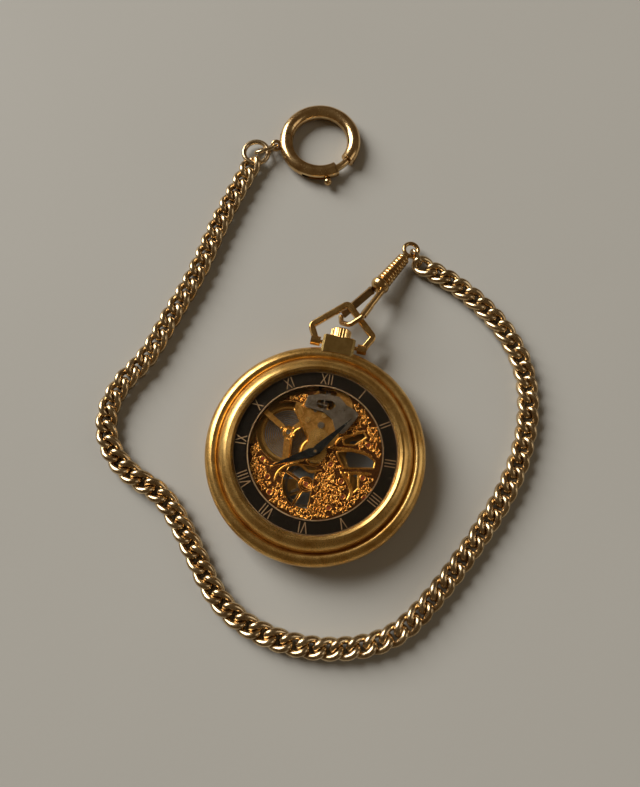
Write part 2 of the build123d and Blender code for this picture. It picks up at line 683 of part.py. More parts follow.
with BuildPart() as click_spring:
    spring_start = polar(1.35, click_angle - 90, click_at)
    with BuildSketch(Plane.XY.offset(1.85)):
        with Locations(Location((*polar(1.1, click_angle, spring_start), 0), (0, 0, click_angle))):
            Rectangle(4.2, 0.16)
        with Locations(polar(3.2, click_angle, spring_start)):
            Circle(0.5)
    extrude(amount=bridge_bottom - 1.85)
save(click_spring, "click_spring")

# ---------------------------------------------------------------- going train


def spoked_wheel(teeth, module, phase, centre, bottom, thickness, spokes, hub):
    """Toothed wheel with spokes, as a solid of its own."""
    rim = module * teeth / 2 - 3.2 * module - 0.25
    with BuildPart() as wheel:
        extrude(gear_face(teeth, module, phase, centre, bottom), amount=thickness)
        if spokes:
            share = 360 / spokes
            for spoke in range(spokes):
                gap = ring_sector(
                    hub, rim, share * spoke + 12, share * (spoke + 1) - 12, centre, bottom
                )
                extrude(gap, amount=thickness, mode=Mode.SUBTRACT)
    return wheel.part


third_pinion_phase = meshing_phase(centre_at, centre_teeth, centre_phase, third_at, third_leaves)
fourth_pinion_phase = meshing_phase(third_at, third_teeth, 0.0, fourth_at, fourth_leaves)
escape_pinion_phase = meshing_phase(fourth_at, fourth_teeth, 0.0, escape_at, escape_leaves)

with BuildPart() as centre_wheel:
    add(spoked_wheel(centre_teeth, centre_module, centre_phase, centre_at, 4.85, 0.16, 5, 1.3))
    extrude(gear_face(centre_leaves, barrel_module, centre_phase, centre_at, 3.4), amount=0.7)
    post(0.5, centre_at, 4.75, 5.25)
    post(0.2, centre_at, 2.4, 8.3)
save(centre_wheel, "centre_wheel")

with BuildPart() as third_wheel:
    add(spoked_wheel(third_teeth, third_module, 0.0, third_at, 4.3, 0.14, 5, 0.9))
    extrude(
        gear_face(third_leaves, centre_module, third_pinion_phase, third_at, 4.7), amount=0.45
    )
    post(0.3, third_at, 3.2, 5.2)
    post(pivot_radius, third_at, 2.4, 6.2)
save(third_wheel, "third_wheel")

with BuildPart() as fourth_wheel:
    add(spoked_wheel(fourth_teeth, fourth_module, 0.0, fourth_at, 4.0, 0.14, 4, 0.8))
    extrude(
        gear_face(fourth_leaves, third_module, fourth_pinion_phase, fourth_at, 4.2), amount=0.36
    )
    post(0.22, fourth_at, 3.2, 5.2)
    post(pivot_radius, fourth_at, 2.4, 6.2)
save(fourth_wheel, "fourth_wheel")

with BuildPart() as escape_wheel:
    escape_radius = 1.9
    escape_points = []
    for tooth in range(15):
        root_angle = 24 * tooth
        escape_points.append(polar(1.45, root_angle, escape_at))
        escape_points.append(polar(escape_radius, root_angle + 9, escape_at))
        escape_points.append(polar(escape_radius, root_angle + 12, escape_at))
        escape_points.append(polar(1.45, root_angle + 12, escape_at))
    with BuildSketch(Plane.XY.offset(4.85)):
        with BuildLine():
            Polyline(*escape_points, close=True)
        make_face()
    extrude(amount=0.15)
    for start in range(0, 360, 90):
        gap = ring_sector(0.55, 1.2, start + 14, start + 76, escape_at, 4.8)
        extrude(gap, amount=0.3, mode=Mode.SUBTRACT)
    extrude(
        gear_face(escape_leaves, fourth_module, escape_pinion_phase, escape_at, 3.85), amount=0.45
    )
    post(0.16, escape_at, 3.2, 5.2)
    post(pivot_radius, escape_at, 2.4, 6.2)
save(escape_wheel, "escape_wheel")

with BuildPart() as pallet_fork:
    fork_heading = heading(pallet_at, balance_at)
    fork_length = gap_between(pallet_at, balance_at) - 0.6
    with BuildSketch(Plane.XY.offset(4.85)):
        with Locations(pallet_at):
            Circle(0.4)
        with Locations(Location((*pallet_at, 0), (0, 0, fork_heading))):
            with Locations((fork_length / 2 - 0.2, 0)):
                Rectangle(fork_length - 0.4, 0.3)
            with Locations((fork_length - 0.35, 0)):
                Rectangle(0.7, 1.0)
            with Locations((fork_length - 0.15, 0)):
                Rectangle(0.7, 0.34, mode=Mode.SUBTRACT)
        for side in (-1, 1):
            arm_end = polar(2.12, heading(escape_at, pallet_at) + side * 40, escape_at)
            arm_turn = heading(pallet_at, arm_end)
            arm_length = gap_between(pallet_at, arm_end)
            arm_middle = polar(arm_length / 2, arm_turn, pallet_at)
            with Locations(Location((*arm_middle, 0), (0, 0, arm_turn))):
                Rectangle(arm_length, 0.28)
    extrude(amount=0.15)
    post(0.2, pallet_at, 4.6, 5.2)
    post(pivot_radius, pallet_at, 4.25, 6.0)
save(pallet_fork, "pallet_fork")

with BuildPart() as balance_wheel:
    with BuildSketch(Plane.XY.offset(3.5)):
        with Locations(balance_at):
            Circle(balance_rim)
            Circle(balance_rim - 0.5, mode=Mode.SUBTRACT)
            Rectangle(2 * balance_rim - 0.5, 0.5, rotation=35)
            Circle(0.6)
    extrude(amount=0.3)
    post(pivot_radius, balance_at, 2.4, 6.2)
    post(0.28, balance_at, 3.2, 5.2)
    post(1.05, balance_at, 4.3, 4.45)
    impulse_spot = polar(0.85, heading(balance_at, pallet_at), balance_at)
    post(0.08, impulse_spot, 4.45, 5.0)
save(balance_wheel, "balance_wheel")

with BuildPart() as hairspring:
    extrude(spiral_face(balance_at, 0.5, 2.2, 8, 0.05, 3.25), amount=0.12)
save(hairspring, "hairspring")

# ---------------------------------------------------------------- motion work and hands
cannon_phase = 90.0 + 180 / cannon_leaves
minute_phase = meshing_phase(centre_at, cannon_leaves, cannon_phase, minute_at, minute_teeth)
hour_phase = meshing_phase(minute_at, minute_leaves, 270.0, centre_at, hour_teeth)
setting_phase = meshing_phase(minute_at, minute_teeth, minute_phase, setting_at, setting_teeth)

with BuildPart() as cannon_pinion:
    extrude(gear_face(cannon_leaves, cannon_module, cannon_phase, centre_at, 6.46), amount=0.3)
    post(0.42, centre_at, 6.7, 8.36)
    post(0.23, centre_at, 6.4, 8.4, mode=Mode.SUBTRACT)
save(cannon_pinion, "cannon_pinion")

with BuildPart() as minute_wheel:
    extrude(gear_face(minute_teeth, cannon_module, minute_phase, minute_at, 6.5), amount=0.2)
    extrude(gear_face(minute_leaves, hour_module, 270.0, minute_at, 6.7), amount=0.36)
    post(0.26, minute_at, 5.5, 7.1)
save(minute_wheel, "minute_wheel")

with BuildPart() as setting_wheel:
    extrude(gear_face(setting_teeth, cannon_module, setting_phase, setting_at, 6.5), amount=0.2)
    post(0.26, setting_at, 5.5, 6.76)
save(setting_wheel, "setting_wheel")

with BuildPart() as hour_wheel:
    extrude(gear_face(hour_teeth, hour_module, hour_phase, centre_at, 6.84), amount=0.18)
    post(0.7, centre_at, 6.84, hour_hand_height + hand_thickness)
    post(0.46, centre_at, 6.8, 8, mode=Mode.SUBTRACT)
save(hour_wheel, "hour_wheel")


def hand_blank(length, half_width, tail, pointing, height, bore):
    """Flat tapered hand that points so many degrees clockwise from the pendant."""
    with BuildPart() as blank:
        with BuildSketch(Plane.XY.offset(height).rotated((0, 0, -pointing))):
            with BuildLine():
                Polyline(
                    (0, length), (half_width, 1.1), (half_width * 0.72, -tail * 0.6),
                    (0, -tail), (-half_width * 0.72, -tail * 0.6), (-half_width, 1.1), close=True,
                )
            make_face()
            Circle(bore, mode=Mode.SUBTRACT)
        extrude(amount=hand_thickness)
    return blank.part


with BuildPart() as hour_hand:
    add(hand_blank(hour_hand_length, 1.0, 1.5, hour_hand_angle, hour_hand_height, 0.7))
save(hour_hand, "hour_hand")

with BuildPart() as minute_hand:
    add(hand_blank(minute_hand_length, 0.9, 1.4, minute_hand_angle, minute_hand_height, 0.42))
save(minute_hand, "minute_hand")

# ---------------------------------------------------------------- dial
with BuildPart() as chapter_ring:
    post(dial_radius, centre_at, dial_bottom, dial_top)
    post(dial_opening, centre_at, dial_bottom - 0.1, dial_top + 0.1, mode=Mode.SUBTRACT)
save(chapter_ring, "chapter_ring")

numerals = ["XII", "I", "II", "III", "IIII", "V", "VI", "VII", "VIII", "IX", "X", "XI"]
numeral_inner, numeral_outer = 14.9, 17.2
stroke_width = 0.2
letter_width = {"I": 0.68, "V": 1.5, "X": 1.5}


def numeral_strokes(text):
    """Strokes of a roman numeral, each as its outer and inner sideways places."""
    place = -sum(letter_width[letter] for letter in text) / 2
    strokes = []
    for letter in text:
        middle = place + letter_width[letter] / 2
        spread = letter_width[letter] / 2 - 0.17
        if letter == "I":
            strokes.append((middle, middle))
        elif letter == "V":
            strokes.append((middle - spread, middle))
            strokes.append((middle + spread, middle))
        else:
            strokes.append((middle - spread, middle + spread))
            strokes.append((middle + spread, middle - spread))
        place += letter_width[letter]
    return strokes


with BuildPart() as dial_markings:
    for hour, text in enumerate(numerals):
        with BuildSketch(Plane.XY.offset(dial_top).rotated((0, 0, dial_twist - 30 * hour))):
            for outer_place, inner_place in numeral_strokes(text):
                half = stroke_width / 2
                with BuildLine():
                    Polyline(
                        (outer_place - half, numeral_outer), (outer_place + half, numeral_outer),
                        (inner_place + half, numeral_inner), (inner_place - half, numeral_inner),
                        close=True,
                    )
                make_face()
        extrude(amount=print_thickness)
    for inner, outer in ((dial_opening + 0.03, dial_opening + 0.28), (17.38, 17.5)):
        with BuildSketch(Plane.XY.offset(dial_top)):
            Circle(outer)
            Circle(inner, mode=Mode.SUBTRACT)
        extrude(amount=print_thickness)
save(dial_markings, "dial_markings")

# ---------------------------------------------------------------- bow
with BuildPart() as bow:
    with BuildLine(Plane.XY.offset(bow_axis_z)) as bow_path:
        FilletPolyline(*bow_outline, radius=[0.9, 0.9, 0.9])
    bow_start = bow_path.line @ 0
    with BuildSketch(Plane(origin=bow_start, x_dir=(0, 0, 1), z_dir=bow_path.line % 0)):
        RectangleRounded(bow_bar, bow_bar, 0.38)
    sweep(path=bow_path.wire())
    for side in (-1, 1):
        with Locations(Location((side * 5.33, bow_axis_y, bow_axis_z), (0, 90, 0))):
            Cylinder(1.1, 2.15)
    for side in (-1, 1):
        with Locations(Location((side * 5.33, bow_axis_y, bow_axis_z), (0, 90, 0))):
            Cylinder(0.5, 4, mode=Mode.SUBTRACT)
save(bow, "bow")

with BuildPart() as bow_pins:
    for side in (-1, 1):
        with Locations(Location((side * 4.6, bow_axis_y, bow_axis_z), (0, 90, 0))):
            Cylinder(0.45, 3.5)
save(bow_pins, "bow_pins")

# ---------------------------------------------------------------- swivel clip
clip_up = clip_side.cross(clip_axis)
hook_side = clip_side * cos(radians(clip_tilt)) + clip_up * sin(radians(clip_tilt))
collar_at = Vector(*clip_pivot) + clip_axis * clip_reach
hook_plane = Plane(origin=collar_at, x_dir=hook_side, z_dir=hook_side.cross(clip_axis))
eye_major, eye_wire, eye_tilt = 1.7, 0.48, -5.0
arm_radius, sleeve_radius, wire_radius = 0.74, 0.84, 0.6
gate_hinge = Vector(-1.25, -1.95, 0)
gate_tip = Vector(-3.3, -10.4, 0)
gate_span = gate_tip - gate_hinge
gate_middle = (gate_tip + gate_hinge) * 0.5
gate_turn = degrees(atan2(gate_span.Y, gate_span.X))


def gate_slab(clearance):
    """Flat bar of the gate, from its hinge in the collar to the hook's end."""
    with BuildPart() as slab:
        with BuildSketch(hook_plane.offset(-0.95 - clearance)):
            with Locations(Location((gate_middle.X, gate_middle.Y, 0), (0, 0, gate_turn))):
                SlotOverall(gate_span.length + 0.5 + 2 * clearance, 0.5 + 2 * clearance)
        extrude(amount=1.9 + 2 * clearance)
    return slab.part


with BuildPart() as clip_body:
    ribs = 9
    rib_pitch = (barrel_end - 0.6 - 1.3) / ribs
    with BuildSketch(hook_plane):
        with BuildLine():
            ThreePointArc((0, -1.75), (1.6, -1.2), (2.25, 0))
            ThreePointArc((2.25, 0), (2.05, 0.75), (1.5, 1.3))
            for rib in range(ribs):
                start_radius = 1.5 - 0.045 * rib
                start_y = 1.3 + rib_pitch * rib
                ThreePointArc(
                    (start_radius, start_y), (start_radius + 0.38, start_y + rib_pitch / 2),
                    (start_radius - 0.045, start_y + rib_pitch),
                )
            neck_radius = 1.5 - 0.045 * ribs
            Line((neck_radius, barrel_end - 0.6), (0.95, barrel_end))
            Polyline((0.95, barrel_end), (0, barrel_end), (0, -1.75))
        make_face()
    revolve(axis=Axis(collar_at, clip_axis))
    with BuildLine(hook_plane) as arm_path:
        FilletPolyline((1.0, -0.4), (1.95, -1.5), (2.35, -6.4), radius=[0.9])
    with BuildSketch(Plane(origin=arm_path.line @ 0, z_dir=arm_path.line % 0)):
        Circle(arm_radius)
    sweep(path=arm_path.wire())
    swivel_start = Plane(origin=collar_at + clip_axis * (barrel_end - 1.4), z_dir=clip_axis)
    with Locations(swivel_start.location):
        Cylinder(0.5, 1.6, align=UPRIGHT, mode=Mode.SUBTRACT)
    add(gate_slab(0.1), mode=Mode.SUBTRACT)
save(clip_body, "clip_body")

with BuildPart() as clip_hook:
    with BuildLine(hook_plane) as hook_path:
        FilletPolyline(
            (2.35, -6.4), (2.75, -9.9), (1.25, -12.9), (-1.65, -12.9), (-3.2, -11.4),
            radius=[1.4, 1.4, 1.1],
        )
    hook_start = Plane(origin=hook_path.line @ 0, z_dir=hook_path.line % 0)
    with BuildSketch(hook_start):
        Circle(wire_radius)
    sweep(path=hook_path.wire())
    with Locations(hook_start.location):
        Cylinder(sleeve_radius, 3.2, align=UPRIGHT)
    with Locations(Location(hook_path.line @ 1)):
        Sphere(wire_radius + 0.05)
save(clip_hook, "clip_hook")

with BuildPart() as clip_gate:
    add(gate_slab(0))
save(clip_gate, "clip_gate")

eye_centre = collar_at + clip_axis * eye_reach
eye_up = clip_up * cos(radians(eye_tilt)) - clip_side * sin(radians(eye_tilt))
eye_plane = Plane(origin=eye_centre, x_dir=clip_axis, z_dir=eye_up)
with BuildPart() as clip_eye:
    with Locations(eye_plane.location):
        Torus(eye_major, eye_wire)
    stud_start = Plane(origin=collar_at + clip_axis * (barrel_end - 1.2), z_dir=clip_axis)
    stud_length = eye_reach - eye_major - (barrel_end - 1.2)
    with Locations(stud_start.location):
        Cylinder(0.45, stud_length, align=UPRIGHT)
save(clip_eye, "clip_eye")

# ---------------------------------------------------------------- chain
with BuildPart() as clip_link:
    link_end = Vector(*chain_route[0], chain_axis_height)
    link_along = (link_end - eye_centre).normalized()
    link_half = ((link_end - eye_centre).length - 0.3 - 0.3) / 2
    link_centre = eye_centre + link_along * (0.3 + link_half)
    link_lateral = Vector(-link_along.Y, link_along.X, 0).normalized()
    link_level = link_lateral.cross(link_along)
    link_side = link_lateral * cos(radians(10)) + link_level * sin(radians(10))
    link_plane = Plane(origin=link_centre, x_dir=link_along, z_dir=link_side)
    add(oval_link(link_plane, link_half, 1.2, 0.42))
save(clip_link, "clip_link")


def corner_radius(before, corner, after):
    """Largest arc that the two runs beside a corner allow, and the angle that it turns."""
    arrive = Vector(corner[0] - before[0], corner[1] - before[1])
    leave = Vector(after[0] - corner[0], after[1] - corner[1])
    turn = arrive.get_angle(leave)
    radius = 0.45 * min(arrive.length, leave.length) / tan(radians(turn) / 2)
    return radius, turn


corners = [corner_radius(*chain_route[k - 1:k + 2]) for k in range(1, len(chain_route) - 1)]
chain_radii = [radius for radius, turn in corners]
with BuildPart() as chain:
    with BuildLine(Plane.XY.offset(chain_axis_height)) as chain_path:
        FilletPolyline(*chain_route, radius=chain_radii)
    with BuildSketch(
        Plane(origin=chain_path.line @ 0, x_dir=(0, 0, 1), z_dir=chain_path.line % 0)
    ) as chain_section:
        RectangleRounded(chain_height, chain_width, 1.3)
    sweep(path=chain_path.wire())
save(chain, "chain")
chain_length = chain_path.wire().length
swept_volume = chain_length * chain_section.sketch.area
print("chain length", round(chain_length, 1))
print("chain volume over section times length", round(chain.part.volume / swept_volume, 4))
print("chain bend radii", [round(radius, 1) for radius in chain_radii])

# ---------------------------------------------------------------- bolt ring and its links
ring_axis = Axis((*bolt_ring_centre, bolt_ring_tube), (0, 0, 1))


def ring_section(angle, offset=0.0):
    """Plane across the bolt ring's tube at an angle round the ring."""
    spot = polar(bolt_ring_major + offset, angle, bolt_ring_centre)
    outward = polar(1, angle)
    return Plane(origin=(*spot, bolt_ring_tube), x_dir=(*outward, 0), z_dir=(*polar(1, angle + 90), 0))


ring_gap_start, ring_gap_end = -50, -25
gate_closed_start, gate_closed_end = -96, -21.5
gate_travel = 32
knob_angle = -68
link_heading = 197
jump_tilt = 52

round_link_at = (-30.2, 70.8)
round_link_major, round_link_wire = 3.0, 0.6
eye_spot = polar(bolt_ring_major + bolt_ring_tube + 0.8, link_heading, bolt_ring_centre)
jump_along = Vector(*polar(1, heading(eye_spot, round_link_at)), 0)
jump_lateral = Vector(-jump_along.Y, jump_along.X, 0)
jump_side = jump_lateral * cos(radians(jump_tilt)) + Vector(0, 0, 1) * sin(radians(jump_tilt))
eye_frame = Plane(origin=(*eye_spot, bolt_ring_tube), x_dir=jump_along, z_dir=jump_side)

with BuildPart() as bolt_ring:
    with BuildSketch(ring_section(ring_gap_end)):
        Circle(bolt_ring_tube)
    revolve(axis=ring_axis, revolution_arc=360 - (ring_gap_end - ring_gap_start))
    with BuildSketch(ring_section(gate_closed_start - gate_travel - 3)):
        Circle(0.95)
    bore_arc = ring_gap_start - gate_closed_start + gate_travel + 3
    revolve(axis=ring_axis, revolution_arc=bore_arc, mode=Mode.SUBTRACT)
    with BuildSketch(ring_section(ring_gap_end)):
        Circle(0.95)
    revolve(axis=ring_axis, revolution_arc=5, mode=Mode.SUBTRACT)
    with BuildSketch(ring_section(knob_angle - gate_travel - 4, 1.3)):
        Rectangle(1.6, 0.8)
    revolve(axis=ring_axis, revolution_arc=gate_travel + 8, mode=Mode.SUBTRACT)
    with Locations(eye_frame.location):
        Torus(1.0, 0.42)
save(bolt_ring, "bolt_ring")

with BuildPart() as bolt_ring_gate:
    with BuildSketch(ring_section(gate_closed_start)):
        Circle(0.85)
    revolve(axis=ring_axis, revolution_arc=gate_closed_end - gate_closed_start)
    knob_start = polar(bolt_ring_major + 0.5, knob_angle, bolt_ring_centre)
    knob_plane = Plane(origin=(*knob_start, bolt_ring_tube), z_dir=(*polar(1, knob_angle), 0))
    with Locations(knob_plane.location):
        Cylinder(0.32, 2.0, align=UPRIGHT)
    with Locations(knob_plane.offset(2.25).location):
        Sphere(0.95)
save(bolt_ring_gate, "bolt_ring_gate")

with BuildPart() as round_link:
    with Locations((*round_link_at, chain_axis_height)):
        Torus(round_link_major, round_link_wire)
save(round_link, "round_link")

with BuildPart() as jump_ring:
    jump_half, jump_wire = 2.75, 0.45
    jump_centre = Vector(*eye_spot, 1.65) + jump_along * (jump_half - 0.05)
    jump_plane = Plane(origin=jump_centre, x_dir=jump_along, z_dir=jump_along.cross(jump_side))
    add(oval_link(jump_plane, jump_half, 1.45, jump_wire))
save(jump_ring, "jump_ring")
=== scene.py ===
"""Looks of an open face skeleton pocket watch and its curb chain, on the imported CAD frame.

Blender lengths are metres. Sizes below that end in _mm, and the points of outlines and of
the chain's route, are millimetres in the CAD frame and go through mm().
"""
import math
import random

import bpy
from mathutils import Matrix, Vector
from mathutils.bvhtree import BVHTree


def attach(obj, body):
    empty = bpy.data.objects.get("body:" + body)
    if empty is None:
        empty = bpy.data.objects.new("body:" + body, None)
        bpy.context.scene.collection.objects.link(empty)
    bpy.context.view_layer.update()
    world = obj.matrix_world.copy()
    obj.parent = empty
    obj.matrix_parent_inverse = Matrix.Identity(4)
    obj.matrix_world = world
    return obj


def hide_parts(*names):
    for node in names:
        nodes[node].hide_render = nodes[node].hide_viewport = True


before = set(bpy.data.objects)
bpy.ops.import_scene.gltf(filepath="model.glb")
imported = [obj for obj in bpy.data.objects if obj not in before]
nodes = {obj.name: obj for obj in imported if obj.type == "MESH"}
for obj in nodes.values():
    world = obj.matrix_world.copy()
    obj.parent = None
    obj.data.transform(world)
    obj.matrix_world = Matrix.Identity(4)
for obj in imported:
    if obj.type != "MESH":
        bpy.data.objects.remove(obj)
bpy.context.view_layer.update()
MM = 0.001


def mm(*values):
    """A point given in millimetres, as a vector in metres."""
    return Vector(values) * MM


# ---------------------------------------------------------------- camera
camera_place = mm(5.22, -19.66, 147.27)
camera_tilt = math.radians(13.3)
camera_roll = math.radians(12.0)
camera_lens = 30.2

camera_right = Vector((math.cos(camera_roll), math.sin(camera_roll), 0))
camera_along = Vector((-math.sin(camera_roll), math.cos(camera_roll), 0))
straight_up = Vector((0, 0, 1))
camera_up = camera_along * math.cos(camera_tilt) + straight_up * math.sin(camera_tilt)
camera_back = straight_up * math.cos(camera_tilt) - camera_along * math.sin(camera_tilt)
camera_data = bpy.data.cameras.new("camera")
camera_data.lens = camera_lens
camera_data.clip_start = 0.005
camera = bpy.data.objects.new("camera", camera_data)
camera_turn = Matrix((camera_right, camera_up, camera_back)).transposed().to_4x4()
camera.matrix_world = Matrix.Translation(camera_place) @ camera_turn
bpy.context.collection.objects.link(camera)
bpy.context.scene.camera = camera


# ---------------------------------------------------------------- mesh helpers
def make_piece(name, vertices, faces, smooth=True):
    """A mesh object from points and faces, in the scene."""
    mesh = bpy.data.meshes.new(name)
    mesh.from_pydata([tuple(vertex) for vertex in vertices], [], faces)
    mesh.validate()
    mesh.polygons.foreach_set("use_smooth", [smooth] * len(mesh.polygons))
    mesh.update()
    piece = bpy.data.objects.new(name, mesh)
    bpy.context.collection.objects.link(piece)
    return piece


def tube(points, radii, sides, closed, outward=None, flat=1.0):
    """Round wire along points: its vertices and faces. outward gives each ring's reference."""
    vertices, faces = [], []
    count = len(points)
    for index, point in enumerate(points):
        before = points[index - 1] if closed or index else point
        after = points[(index + 1) % count] if closed or index < count - 1 else point
        along = (after - before).normalized()
        reference = outward[index] if outward else straight_up
        side = (reference - along * reference.dot(along)).normalized()
        across = along.cross(side)
        radius = radii[index] if isinstance(radii, (list, tuple)) else radii
        for step in range(sides):
            angle = 2 * math.pi * step / sides
            vertices.append(
                point + side * (radius * flat * math.cos(angle)) + across * (radius * math.sin(angle))
            )
    last = count if closed else count - 1
    for index in range(last):
        here, there = index * sides, (index + 1) % count * sides
        for step in range(sides):
            turn = (step + 1) % sides
            faces.append((here + step, here + turn, there + turn, there + step))
    if not closed:
        faces.append(tuple(range(sides))[::-1])
        faces.append(tuple((count - 1) * sides + step for step in range(sides)))
    return vertices, faces


class Collector:
    """Gathers the vertices and faces of many shapes into one piece."""

    def __init__(self):
        self.vertices, self.faces = [], []

    def add(self, shape):
        vertices, faces = shape
        start = len(self.vertices)
        self.vertices.extend(vertices)
        self.faces.extend(tuple(start + corner for corner in face) for face in faces)


# ---------------------------------------------------------------- chain
chain_route_mm = [
    (14.9, 49.6), (20.7, 48.0), (29.5, 43.6), (37.5, 37.2), (43.2, 28.6),
    (45.4, 17.0), (43.8, 3.6), (38.4, -9.6), (31.8, -23.0), (24.2, -34.6),
    (11.2, -39.6), (-2.6, -39.6), (-13.6, -35.0), (-22.3, -24.2), (-30.6, -15.2),
    (-39.0, -12.8), (-45.4, -8.0), (-48.2, -0.8), (-46.8, 7.0), (-42.4, 13.8),
    (-39.9, 24.4), (-36.4, 36.6), (-34.9, 48.0), (-32.8, 58.4), (-30.5, 67.4),
]
chain_height_mm = 1.6
link_wire_mm = 1.6
link_width_mm = 5.0
link_pitch_mm = 3.54
link_length_mm = link_pitch_mm + 2 * link_wire_mm
link_twist = math.radians(-50)
first_link_mm, last_link_mm = 1.2, 0.9      # from the route's ends to the end links' middles


def smooth_route(points):
    """Points along the NURBS spline that has the route's points as its control points."""
    curve = bpy.data.curves.new("route", "CURVE")
    curve.dimensions = "3D"
    curve.resolution_u = 16
    spline = curve.splines.new("NURBS")
    spline.points.add(len(points) - 1)
    for control, (x, y) in zip(spline.points, points):
        control.co = (*mm(x, y, chain_height_mm), 1)
    spline.order_u = 3
    spline.use_endpoint_u = True
    holder = bpy.data.objects.new("route", curve)
    line = bpy.data.meshes.new_from_object(holder)
    found = [vertex.co.copy() for vertex in line.vertices]
    bpy.data.objects.remove(holder)
    bpy.data.curves.remove(curve)
    bpy.data.meshes.remove(line)
    return found


def distances_along(line):
    """Distance of each point of a line from its start."""
    distances = [0.0]
    for before, after in zip(line, line[1:]):
        distances.append(distances[-1] + (after - before).length)
    return distances


def place_on(line, distances, distance):
    """The point at a distance along a line."""
    index = next((k for k, value in enumerate(distances) if value >= distance), len(line) - 1)
    index = max(index, 1)
    span = distances[index] - distances[index - 1]
    share = (distance - distances[index - 1]) / span
    return line[index - 1].lerp(line[index], share)


def curb_link(middle, along, roll):
    """One twisted oval link of round wire, flat on its route."""
    half_length = (link_length_mm - link_wire_mm) / 2 * MM
    half_width = (link_width_mm - link_wire_mm) / 2 * MM
    across = straight_up.cross(along).normalized()
    points, outward = [], []
    steps = 36
    for step in range(steps):
        angle = 2 * math.pi * step / steps
        run = math.copysign(abs(math.cos(angle)) ** 0.86, math.cos(angle))
        spread = math.copysign(abs(math.sin(angle)) ** 0.8, math.sin(angle))
        twist = link_twist * run + roll
        sideways = across * math.cos(twist) + straight_up * math.sin(twist)
        offset = along * (half_length * run) + sideways * (half_width * spread)
        points.append(middle + offset)
        outward.append(offset)
    return tube(points, link_wire_mm / 2 * MM, 12, True, outward)


route = smooth_route(chain_route_mm)
route_distances = distances_along(route)
chain_length = route_distances[-1]
link_span = chain_length - (first_link_mm + last_link_mm) * MM
link_count = round(link_span / (link_pitch_mm * MM)) + 1
shake = random.Random(7)
links = Collector()
for link in range(link_count):
    distance = first_link_mm * MM + link_span * link / (link_count - 1)
    middle = place_on(route, route_distances, distance)
    behind = place_on(route, route_distances, max(distance - 1.6 * MM, 0))
    ahead = place_on(route, route_distances, min(distance + 1.6 * MM, chain_length))
    heading = (ahead - behind).normalized()
    links.add(curb_link(middle, heading, math.radians(shake.uniform(-4, 4))))
curb_chain = make_piece("curb_chain", links.vertices, links.faces)
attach(curb_chain, "clip")
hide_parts("chain")


# ---------------------------------------------------------------- material helpers
# plain, unengraved parts of the main plate: middle and radius
plain_zones_mm = [((-6.6, 3.1), 6.9), ((0.9, 4.4), 3.3), ((1.3, 10.2), 4.7), ((0.0, 0.0), 2.2)]


